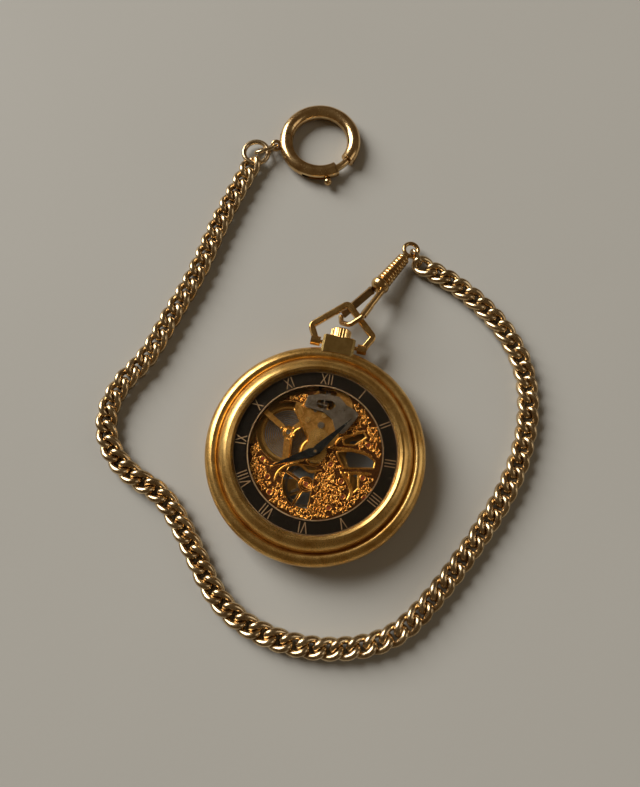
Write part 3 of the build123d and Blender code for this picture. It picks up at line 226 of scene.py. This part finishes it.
class Shader:
    """A Principled material and the few node shapes that the watch's surfaces are made of."""

    def __init__(self, name, colour, metallic, roughness, **sockets):
        self.material = bpy.data.materials.new(name)
        self.material.use_nodes = True
        self.tree = self.material.node_tree
        self.bsdf = self.tree.nodes["Principled BSDF"]
        self.bsdf.inputs["Base Color"].default_value = (*colour, 1)
        self.bsdf.inputs["Metallic"].default_value = metallic
        self.bsdf.inputs["Roughness"].default_value = roughness
        for socket, value in sockets.items():
            self.bsdf.inputs[socket.replace("_", " ")].default_value = value

    def node(self, kind, **settings):
        """A new node with its settings; keys that name an input set that input."""
        node = self.tree.nodes.new(kind)
        for key, value in settings.items():
            if hasattr(node, key):
                setattr(node, key, value)
            else:
                node.inputs[key.replace("_", " ")].default_value = value
        return node

    def link(self, output, target):
        self.tree.links.new(output, target)

    def object_place(self, scale=(1, 1, 1), turn=(0, 0, 0)):
        """Object coordinates in millimetres, scaled by a given share along each axis."""
        coordinates = self.node("ShaderNodeTexCoord")
        mapping = self.node("ShaderNodeMapping")
        mapping.inputs["Scale"].default_value = [1000 * share for share in scale]
        mapping.inputs["Rotation"].default_value = turn
        self.link(coordinates.outputs["Object"], mapping.inputs["Vector"])
        return mapping.outputs["Vector"]

    def turned_place(self, around, along):
        """Coordinates that run round the watch's axis, for lathe and circular graining."""
        place = self.object_place()
        parts = self.node("ShaderNodeSeparateXYZ")
        self.link(place, parts.inputs["Vector"])
        flat = self.node("ShaderNodeVectorMath", operation="MULTIPLY")
        flat.inputs[1].default_value = (1, 1, 0)
        self.link(place, flat.inputs[0])
        radius = self.node("ShaderNodeVectorMath", operation="LENGTH")
        self.link(flat.outputs["Vector"], radius.inputs[0])
        angle = self.node("ShaderNodeMath", operation="ARCTAN2")
        self.link(parts.outputs["Y"], angle.inputs[0])
        self.link(parts.outputs["X"], angle.inputs[1])
        joined = self.node("ShaderNodeCombineXYZ")
        for output, scale, target in (
            (radius.outputs["Value"], along, "X"),
            (angle.outputs["Value"], around, "Y"),
            (parts.outputs["Z"], along, "Z"),
        ):
            scaled = self.node("ShaderNodeMath", operation="MULTIPLY")
            scaled.inputs[1].default_value = scale
            self.link(output, scaled.inputs[0])
            self.link(scaled.outputs[0], joined.inputs[target])
        return joined.outputs["Vector"]

    def noise(self, place, scale, detail=3.0, roughness=0.55, distortion=0.0):
        texture = self.node(
            "ShaderNodeTexNoise", Scale=scale, Detail=detail, Roughness=roughness,
            Distortion=distortion,
        )
        self.link(place, texture.inputs["Vector"])
        return texture.outputs["Fac"]

    def ramp(self, factor, *stops):
        """Colour ramp: stops of a position and a colour."""
        ramp = self.node("ShaderNodeValToRGB")
        elements = ramp.color_ramp.elements
        while len(elements) < len(stops):
            elements.new(0.5)
        for element, (position, colour) in zip(elements, stops):
            element.position = position
            element.color = (*colour, 1)
        self.link(factor, ramp.inputs["Fac"])
        return ramp.outputs["Color"]

    def span(self, factor, low, high, from_low=0.0, from_high=1.0):
        """Map a factor to a range."""
        mapped = self.node("ShaderNodeMapRange")
        mapped.inputs["From Min"].default_value = from_low
        mapped.inputs["From Max"].default_value = from_high
        mapped.inputs["To Min"].default_value = low
        mapped.inputs["To Max"].default_value = high
        self.link(factor, mapped.inputs["Value"])
        return mapped.outputs["Result"]

    def mix(self, factor, first, second):
        """Blend two colours by a factor."""
        mixed = self.node("ShaderNodeMix", data_type="RGBA")
        self.link(factor, mixed.inputs["Factor"])
        self.link(first, mixed.inputs["A"])
        self.link(second, mixed.inputs["B"])
        return mixed.outputs["Result"]

    def colour(self, output):
        self.link(output, self.bsdf.inputs["Base Color"])

    def roughness(self, output):
        self.link(output, self.bsdf.inputs["Roughness"])

    def bump(self, *heights):
        """Chain of bumps: pairs of a height output and its depth in micrometres."""
        normal = None
        for height, depth in heights:
            bump = self.node("ShaderNodeBump")
            bump.inputs["Strength"].default_value = 1.0
            bump.inputs["Distance"].default_value = depth * 1e-6
            self.link(height, bump.inputs["Height"])
            if normal is not None:
                self.link(normal, bump.inputs["Normal"])
            normal = bump.outputs["Normal"]
        self.link(normal, self.bsdf.inputs["Normal"])


def satin_metal(name, dark, light, rough, grain, depth):
    """Metal with a mottled tone, worn patches in its gloss and a fine cast grain."""
    shader = Shader(name, light, 1.0, sum(rough) / 2)
    place = shader.object_place()
    patches = shader.noise(place, 0.35, 4.0, 0.6)
    fine = shader.noise(place, grain, 3.0, 0.7)
    shader.colour(shader.ramp(patches, (0.3, dark), (0.68, light)))
    shader.roughness(shader.span(fine, rough[0], rough[1], 0.3, 0.7))
    shader.bump((fine, depth))
    return shader.material


def turned_metal(name, dark, light, rough, around, along, depth):
    """Metal turned on a lathe: fine rings round the watch's axis, with mottled wear."""
    shader = Shader(name, light, 1.0, sum(rough) / 2)
    rings = shader.noise(shader.turned_place(around, along), 1.0, 4.0, 0.65)
    place = shader.object_place()
    patches = shader.noise(place, 0.22, 5.0, 0.65)
    specks = shader.noise(place, 7.0, 2.0, 0.7)
    shader.colour(shader.ramp(patches, (0.3, dark), (0.7, light)))
    shader.roughness(shader.span(specks, rough[0], rough[1], 0.3, 0.7))
    shader.bump((rings, depth), (specks, depth * 0.6))
    return shader.material


def lacquer(name, colour, edge_colour, rough):
    """Black lacquer with faint unevenness and dust in its gloss."""
    shader = Shader(name, colour, 0.0, sum(rough) / 2, Specular_IOR_Level=0.1)
    place = shader.object_place()
    cloud = shader.noise(place, 1.2, 4.0, 0.6)
    shader.colour(shader.ramp(cloud, (0.3, colour), (0.75, edge_colour)))
    shader.roughness(shader.span(cloud, rough[0], rough[1], 0.3, 0.7))
    shader.bump((shader.noise(place, 3.0, 2.0, 0.5), 0.6))
    return shader.material


def engraved_gilt(name):
    """Gilt plate: plain orange gold in its plain zones; elsewhere a stippled ground, painted near black
    as the shade in its engraved recesses.
    """
    shader = Shader(name, (0.78, 0.43, 0.11), 1.0, 0.3)
    place = shader.object_place()
    ground = None
    for (x, y), radius in plain_zones_mm:
        away = shader.node("ShaderNodeVectorMath", operation="MULTIPLY")
        away.inputs[1].default_value = (1, 1, 0)
        shader.link(place, away.inputs[0])
        gap = shader.node("ShaderNodeVectorMath", operation="DISTANCE")
        gap.inputs[1].default_value = (x, y, 0)
        shader.link(away.outputs["Vector"], gap.inputs[0])
        outside = shader.span(gap.outputs["Value"], 0.0, 1.0, radius - 0.1, radius + 0.1)
        if ground is not None:
            both = shader.node("ShaderNodeMath", operation="MULTIPLY")
            shader.link(ground, both.inputs[0])
            shader.link(outside, both.inputs[1])
            outside = both.outputs[0]
        ground = outside
    swirl = shader.noise(place, 0.8, 3.0, 0.6, 1.2)
    stipple = shader.noise(place, 5.0, 2.0, 0.6)
    plain = shader.ramp(swirl, (0.3, (0.42, 0.17, 0.03)), (0.7, (0.8, 0.42, 0.1)))
    # painted shade: the engraved ground's near black colour stands for the shade in its recesses, laid
    # over its real stipple
    recess_shade = shader.ramp(stipple, (0.35, (0.015, 0.006, 0.002)), (0.7, (0.12, 0.04, 0.01)))
    shader.colour(shader.mix(ground, plain, recess_shade))
    shader.roughness(shader.span(ground, 0.3, 0.55))
    shader.bump((stipple, 8.0), (shader.noise(place, 1.6, 3.0, 0.6, 0.8), 25.0))
    return shader.material


def crystal_glass(name):
    """Clear crystal with the faintest haze of wear, which lets the lamps' light through."""
    shader = Shader(name, (0.985, 0.99, 0.985), 0.0, 0.02, Transmission_Weight=1.0, IOR=1.2)
    haze = shader.noise(shader.object_place(), 3.0, 3.0, 0.6)
    shader.roughness(shader.span(haze, 0.0, 0.03, 0.45, 0.8))
    rays = shader.node("ShaderNodeLightPath")
    open_way = shader.node("ShaderNodeBsdfTransparent")
    chosen = shader.node("ShaderNodeMixShader")
    shader.link(rays.outputs["Is Shadow Ray"], chosen.inputs[0])
    shader.link(shader.bsdf.outputs["BSDF"], chosen.inputs[1])
    shader.link(open_way.outputs["BSDF"], chosen.inputs[2])
    output = shader.tree.nodes["Material Output"]
    shader.link(chosen.outputs["Shader"], output.inputs["Surface"])
    return shader.material


def ruby_gem(name):
    """Polished synthetic ruby."""
    shader = Shader(name, (0.14, 0.03, 0.012), 0.0, 0.2, Coat_Weight=0.25, Coat_Roughness=0.1)
    depth = shader.noise(shader.object_place(), 2.2, 2.0, 0.5)
    shader.colour(shader.ramp(depth, (0.3, (0.07, 0.012, 0.004)), (0.7, (0.22, 0.045, 0.014))))
    return shader.material


def blued_metal(name):
    """Heat blued steel, which runs from blue to purple."""
    shader = Shader(name, (0.05, 0.07, 0.25), 1.0, 0.2)
    tint = shader.noise(shader.object_place(), 0.9, 3.0, 0.5)
    shader.colour(shader.ramp(tint, (0.3, (0.03, 0.05, 0.2)), (0.7, (0.13, 0.09, 0.26))))
    shader.bump((shader.noise(shader.object_place(), 10.0, 2.0, 0.5), 1.0))
    return shader.material


materials = {
    "case": turned_metal(
        "case_gold", (0.54, 0.28, 0.06), (0.86, 0.57, 0.2), (0.2, 0.42), 3.0, 9.0, 8.0),
    "polished": satin_metal(
        "polished_gold", (0.5, 0.27, 0.08), (0.82, 0.55, 0.22), (0.16, 0.3), 8.0, 3.0),
    "pendant": satin_metal(
        "pendant_gold", (0.56, 0.37, 0.12), (0.84, 0.62, 0.26), (0.12, 0.24), 6.0, 3.0),
    "chain": satin_metal(
        "chain_gold", (0.38, 0.25, 0.12), (0.8, 0.62, 0.37), (0.17, 0.32), 5.0, 4.0),
    "ring": satin_metal(
        "ring_gold", (0.5, 0.3, 0.12), (0.84, 0.6, 0.3), (0.12, 0.28), 3.0, 3.0),
    "clip": satin_metal(
        "clip_gold", (0.45, 0.26, 0.09), (0.76, 0.52, 0.23), (0.14, 0.28), 7.0, 3.0),
    "gate": satin_metal("gate_bronze", (0.2, 0.12, 0.05), (0.36, 0.23, 0.1), (0.26, 0.4), 6.0, 3.0),
    "gilt": engraved_gilt("engraved_gilt"),
    "relief": satin_metal(
        "relief_gilt", (0.56, 0.22, 0.03), (0.9, 0.45, 0.09), (0.18, 0.32), 7.0, 3.0),
    "bridge": turned_metal(
        "bridge_gilt", (0.4, 0.2, 0.05), (0.7, 0.42, 0.14), (0.26, 0.42), 2.0, 8.0, 6.0),
    "wheel": turned_metal(
        "wheel_brass", (0.55, 0.28, 0.06), (0.86, 0.52, 0.15), (0.22, 0.38), 2.0, 12.0, 3.0),
    "balance": turned_metal(
        "balance_metal", (0.14, 0.1, 0.06), (0.3, 0.22, 0.14), (0.3, 0.45), 2.0, 12.0, 3.0),
    "steel": satin_metal(
        "brushed_steel", (0.13, 0.1, 0.065), (0.27, 0.215, 0.15), (0.26, 0.42), 3.0, 4.0),
    "spring": turned_metal(
        "spring_steel", (0.3, 0.28, 0.25), (0.55, 0.52, 0.47), (0.22, 0.36), 2.0, 9.0, 2.0),
    "blued": blued_metal("blued_steel"),
    "ruby": ruby_gem("ruby"),
    "dial": lacquer("dial_black", (0.004, 0.0025, 0.0012), (0.007, 0.0045, 0.002), (0.3, 0.42)),
    "hand": lacquer("hand_black", (0.004, 0.004, 0.003), (0.01, 0.009, 0.008), (0.2, 0.34)),
    "print": satin_metal("dial_print", (0.26, 0.15, 0.07), (0.46, 0.3, 0.15), (0.35, 0.5), 6.0, 1.0),
    "seam": satin_metal("seam_shadow", (0.05, 0.03, 0.015), (0.1, 0.06, 0.03), (0.5, 0.7), 6.0, 1.0),
    "glass": crystal_glass("crystal"),
}
rubber = Shader("seal_rubber", (0.02, 0.02, 0.02), 0.0, 0.7)
rubber_grain = rubber.noise(rubber.object_place(), 12.0)
rubber.colour(rubber.ramp(rubber_grain, (0.3, (0.012, 0.012, 0.012)), (0.7, (0.035, 0.034, 0.033))))
rubber.bump((rubber_grain, 5.0))
materials["rubber"] = rubber.material

finish_of = {
    "case": ["mid_case", "front_bezel", "back_bezel", "dial_flange"],
    "polished": ["crown", "bow", "bow_pins"],
    "pendant": ["pendant"],
    "chain": ["chain", "clip_link", "round_link", "jump_ring"],
    "ring": ["bolt_ring", "bolt_ring_gate"],
    "clip": ["clip_body", "clip_hook", "clip_eye"],
    "gate": ["clip_gate"],
    "gilt": ["main_plate"],
    "bridge": ["barrel_bridge", "train_bridge", "balance_cock", "pallet_bridge"],
    "wheel": ["barrel_drum", "centre_wheel", "third_wheel", "fourth_wheel", "minute_wheel",
              "hour_wheel", "crown_wheel_core", "plate_screws"],
    "balance": ["balance_wheel"],
    "steel": ["case_screws", "steel_screws", "keyless_cover", "winding_stem", "winding_pinion",
              "sliding_pinion", "setting_lever", "yoke", "click", "click_spring", "crown_wheel",
              "ratchet_wheel", "barrel_arbor", "cannon_pinion", "setting_wheel", "escape_wheel",
              "pallet_fork"],
    "spring": ["mainspring", "hairspring"],
    "blued": ["bridge_screws"],
    "ruby": ["jewels"],
    "dial": ["chapter_ring"],
    "hand": ["hour_hand", "minute_hand"],
    "print": ["dial_markings"],
    "glass": ["front_crystal", "back_crystal"],
    "rubber": ["crown_gasket"],
}


def dress(piece, finish):
    """Give a piece one of the finishes."""
    piece.data.materials.clear()
    piece.data.materials.append(materials[finish])


for finish, names in finish_of.items():
    for name in names:
        for slot in nodes[name].material_slots:
            slot.material = materials[finish]
dress(curb_chain, "chain")


# ---------------------------------------------------------------- scroll engraving
plate_top_mm = 6.4
scroll_pitch_mm = 1.22
scroll_reach_mm = 13.95
balance_at_mm, barrel_at_mm = (-0.5, -7.1), (-6.6, 3.1)
hoop_wire_mm = 0.12
thin_rim_mm, wide_rim_mm = 0.12, 0.24       # wires round small and large openings
small_opening_mm = 7.0                      # round its edge


def surface_height(tree, x, y):
    """Height in millimetres of the first surface below a point, or None over a hole."""
    hit = tree.ray_cast(mm(x, y, 9.0), Vector((0, 0, -1)))[0]
    return None if hit is None else hit.z / MM


def scroll_line(x, y, start, reach, turns, hand):
    """Spiral stem that winds in to its eye: points and wire radii, in millimetres."""
    points, radii = [], []
    steps = 16
    for step in range(steps + 1):
        share = step / steps
        angle = start + hand * turns * 2 * math.pi * share
        radius = reach * (1 - share) ** 0.8 + 0.08
        points.append(mm(x + radius * math.cos(angle), y + radius * math.sin(angle), plate_top_mm))
        radii.append((0.15 - 0.07 * share) * MM)
    return points, radii


def leaf_line(x, y, angle, length):
    """Short leaf that swells in its middle and curls at its tip."""
    points, radii = [], []
    for step in range(7):
        share = step / 6
        bend = angle + 0.7 * share
        points.append(
            mm(x + length * share * math.cos(bend), y + length * share * math.sin(bend), plate_top_mm)
        )
        radii.append((0.04 + 0.1 * math.sin(math.pi * share) ** 0.7) * MM)
    return points, radii


def rounded(vertex):
    """A vertex's place in whole micrometres, so that split vertices match."""
    return tuple(round(value * 1e6) for value in vertex)


def rim_loops(mesh, height_mm):
    """Closed lines where the level top of a mesh meets its openings' walls."""
    height = round(height_mm * 1000)
    sides = {}
    for polygon in mesh.polygons:
        level = abs(polygon.normal.z) > 0.9
        corners = [rounded(mesh.vertices[index].co) for index in polygon.vertices]
        for first, second in zip(corners, corners[1:] + corners[:1]):
            if abs(first[2] - height) < 3 and abs(second[2] - height) < 3:
                sides.setdefault(frozenset((first, second)), []).append(level)
    beside = {}
    for edge, levels in sides.items():
        if len(edge) == 2 and levels.count(True) == 1 and levels.count(False) >= 1:
            first, second = edge
            beside.setdefault(first, []).append(second)
            beside.setdefault(second, []).append(first)
    loops = []
    while beside:
        start = next(iter(beside))
        loop = [start]
        here = start
        while beside.get(here):
            there = beside[here].pop()
            beside[there].remove(here)
            if not beside[here]:
                del beside[here]
            if there == start:
                break
            loop.append(there)
            here = there
        beside = {point: others for point, others in beside.items() if others}
        loops.append([Vector(point) * 1e-6 for point in loop])
    return loops


def spread_line(points, gap):
    """Smooth line through points, by Catmull-Rom, with about the given gap in millimetres."""
    line = []
    for index in range(len(points) - 1):
        first = Vector(points[max(index - 1, 0)])
        second, third = Vector(points[index]), Vector(points[index + 1])
        fourth = Vector(points[min(index + 2, len(points) - 1)])
        steps = max(2, int((third - second).length / gap))
        for step in range(steps):
            t = step / steps
            line.append(
                0.5 * (2 * second + (third - first) * t
                       + (2 * first - 5 * second + 4 * third - fourth) * t * t
                       + (3 * second - first - 3 * third + fourth) * t * t * t)
            )
    line.append(Vector(points[-1]))
    return line


# raised gilt bands of the plate: their middle lines and half widths
bands_mm = [
    ([(-8.8, -5.2), (-6.9, -3.7), (-4.3, -2.7), (-1.8, -1.8)], 0.42),
    ([(-7.3, -7.9), (-6.8, -5.7), (-5.2, -4.0), (-2.7, -3.3), (-0.3, -4.3), (2.1, -3.4)], 0.36),
    ([(2.5, 1.6), (5.8, 2.0), (9.5, 2.1), (12.2, 1.5)], 0.4),
    ([(3.9, 2.3), (4.6, 3.9), (6.9, 5.2), (9.7, 6.9)], 0.36),
    ([(6.1, -2.9), (8.0, -4.6), (9.2, -7.0), (8.6, -8.9)], 0.45),
    ([(6.9, -3.1), (9.9, -2.5), (12.8, -2.1)], 0.36),
    ([(-6.5, 8.5), (-4.2, 5.4), (-1.9, 2.4)], 0.22),
]
band_lines = [(spread_line(points, 0.5), half) for points, half in bands_mm]
plate_mesh = nodes["main_plate"].data
plate_tree = BVHTree.FromPolygons(
    [vertex.co for vertex in plate_mesh.vertices],
    [tuple(polygon.vertices) for polygon in plate_mesh.polygons],
)
carve = random.Random(11)
scrolls = Collector()
rows = int(2 * scroll_reach_mm / scroll_pitch_mm) + 1
for row in range(-rows, rows + 1):
    for column in range(-rows, rows + 1):
        x = (column + 0.5 * (row % 2)) * scroll_pitch_mm + carve.uniform(-0.15, 0.15)
        y = row * scroll_pitch_mm * 0.87 + carve.uniform(-0.15, 0.15)
        reach = carve.uniform(0.42, 0.56)
        start = carve.uniform(0, 2 * math.pi)
        hand = carve.choice((-1, 1))
        ring = [
            surface_height(plate_tree, x + 0.48 * math.cos(turn), y + 0.48 * math.sin(turn))
            for turn in (0, 1.05, 2.1, 3.14, 4.19, 5.24)
        ]
        flat = all(height is not None and abs(height - plate_top_mm) < 0.02 for height in ring)
        plain = any(math.dist((x, y), middle) < radius for middle, radius in plain_zones_mm)
        banded = any(
            (Vector((x, y)) - point).length < half + 0.35
            for line, half in band_lines for point in line
        )
        if not flat or plain or banded or math.hypot(x, y) > scroll_reach_mm:
            continue
        points, radii = scroll_line(x, y, start, reach, 1.4, hand)
        scrolls.add(tube(points, radii, 6, False))
        for twig in range(3):
            angle = start + hand * (0.9 + 1.7 * twig)
            foot = (x + reach * math.cos(angle), y + reach * math.sin(angle))
            points, radii = leaf_line(*foot, angle - hand * 0.6, 0.42)
            scrolls.add(tube(points, radii, 6, False))
for line, half in band_lines:
    points = [mm(point.x, point.y, plate_top_mm) for point in line]
    last = len(points) - 1
    radii = [half * MM * min(1.0, 0.45 + 4.0 * min(k, last - k) / last) for k in range(last + 1)]
    scrolls.add(tube(points, radii, 10, False, None, 0.4))
for loop in rim_loops(plate_mesh, plate_top_mm):
    around = sum((after - before).length for before, after in zip(loop, loop[1:] + loop[:1]))
    if len(loop) < 4 or max(point.xy.length for point in loop) > 15 * MM:
        continue
    near_balance = any((point.xy - mm(*balance_at_mm).xy).length < 2.5 * MM for point in loop)
    radius = thin_rim_mm if around < small_opening_mm * MM or near_balance else wide_rim_mm
    scrolls.add(tube(loop, radius * MM, 8, True, None, 0.5))
for (x, y), radius in ((balance_at_mm, 1.45), (balance_at_mm, 1.1), (barrel_at_mm, 1.0)):
    turns = [2 * math.pi * step / 48 for step in range(48)]
    hoop = [mm(x + radius * math.cos(turn), y + radius * math.sin(turn), plate_top_mm) for turn in turns]
    scrolls.add(tube(hoop, hoop_wire_mm * MM, 6, True))
plate_scrolls = make_piece("plate_scrolls", scrolls.vertices, scrolls.faces)
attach(plate_scrolls, "case")
dress(plate_scrolls, "relief")


# ---------------------------------------------------------------- clip's hinge and bolt ring's seams
hinge_axis = Vector((-0.5572, 0.3811, 0.7378))
hinge_middle = mm(4.697, 40.392, 2.775)
knuckle_reach_mm, knuckle_radius_mm = 0.9, 0.5      # half its length, and its radius
ends = [
    hinge_middle - hinge_axis * knuckle_reach_mm * MM,
    hinge_middle + hinge_axis * knuckle_reach_mm * MM,
]
knuckle = Collector()
knuckle.add(tube(ends, knuckle_radius_mm * MM, 20, False, [Vector((1, 0, 0))] * 2))
gate_knuckle = make_piece("gate_knuckle", knuckle.vertices, knuckle.faces, False)
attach(gate_knuckle, "clip_gate_body")
dress(gate_knuckle, "gate")
bolt_ring_middle = mm(-15.3, 76.9, 1.7)
bolt_ring_major_mm = 8.4
seam_major_mm, seam_wire_mm = 1.68, 0.06
seam_angles_deg = (164, 182, -21.5, -53)    # from the X axis round the bolt ring
seams = Collector()
for angle in map(math.radians, seam_angles_deg):
    outward = Vector((math.cos(angle), math.sin(angle), 0))
    middle = bolt_ring_middle + outward * bolt_ring_major_mm * MM
    turns = [2 * math.pi * step / 40 for step in range(40)]
    hoop = [
        middle + (outward * math.cos(turn) + straight_up * math.sin(turn)) * seam_major_mm * MM
        for turn in turns
    ]
    seams.add(tube(hoop, seam_wire_mm * MM, 6, True))
ring_seams = make_piece("ring_seams", seams.vertices, seams.faces)
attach(ring_seams, "clip")
dress(ring_seams, "seam")


# ---------------------------------------------------------------- floor and light
floor_shader = Shader("table", (0.4, 0.37, 0.33), 0.0, 0.7, Specular_IOR_Level=0.15)
floor_place = floor_shader.object_place()
floor_cloud = floor_shader.noise(floor_place, 0.01, 3.0, 0.5)
floor_shader.colour(
    floor_shader.ramp(floor_cloud, (0.3, (0.47, 0.46, 0.418)), (0.7, (0.485, 0.475, 0.432)))
)
floor_shader.bump((floor_shader.noise(floor_place, 0.8, 4.0, 0.6), 12.0))
bpy.ops.mesh.primitive_plane_add(size=3.0, location=(0, 0, 0))
floor = bpy.context.object
floor.name = "floor"
floor.data.materials.append(floor_shader.material)


def soft_light(name, place, aim, size, power, colour):
    """Square area light at a place, turned towards a point."""
    data = bpy.data.lights.new(name, "AREA")
    data.shape = "RECTANGLE"
    data.size, data.size_y = size
    data.energy = power
    data.color = colour
    light = bpy.data.objects.new(name, data)
    light.location = place
    light.rotation_euler = (Vector(aim) - Vector(place)).to_track_quat("-Z", "Y").to_euler()
    bpy.context.collection.objects.link(light)


soft_light("key", (-3.3, 1.8, 2.25), (0, 0.02, 0), (2.7, 2.7), 262.0, (1.0, 0.98, 0.96))
soft_light("fill", (1.9, 0.3, 1.2), (0, 0, 0), (1.2, 1.2), 4.0, (1.0, 0.93, 0.84))
world = bpy.data.worlds.new("studio")
world.use_nodes = True
background = world.node_tree.nodes["Background"]
background.inputs["Color"].default_value = (1.0, 0.72, 0.42, 1)
background.inputs["Strength"].default_value = 0.088
bpy.context.scene.world = world
bpy.context.scene.view_settings.view_transform = "Standard"
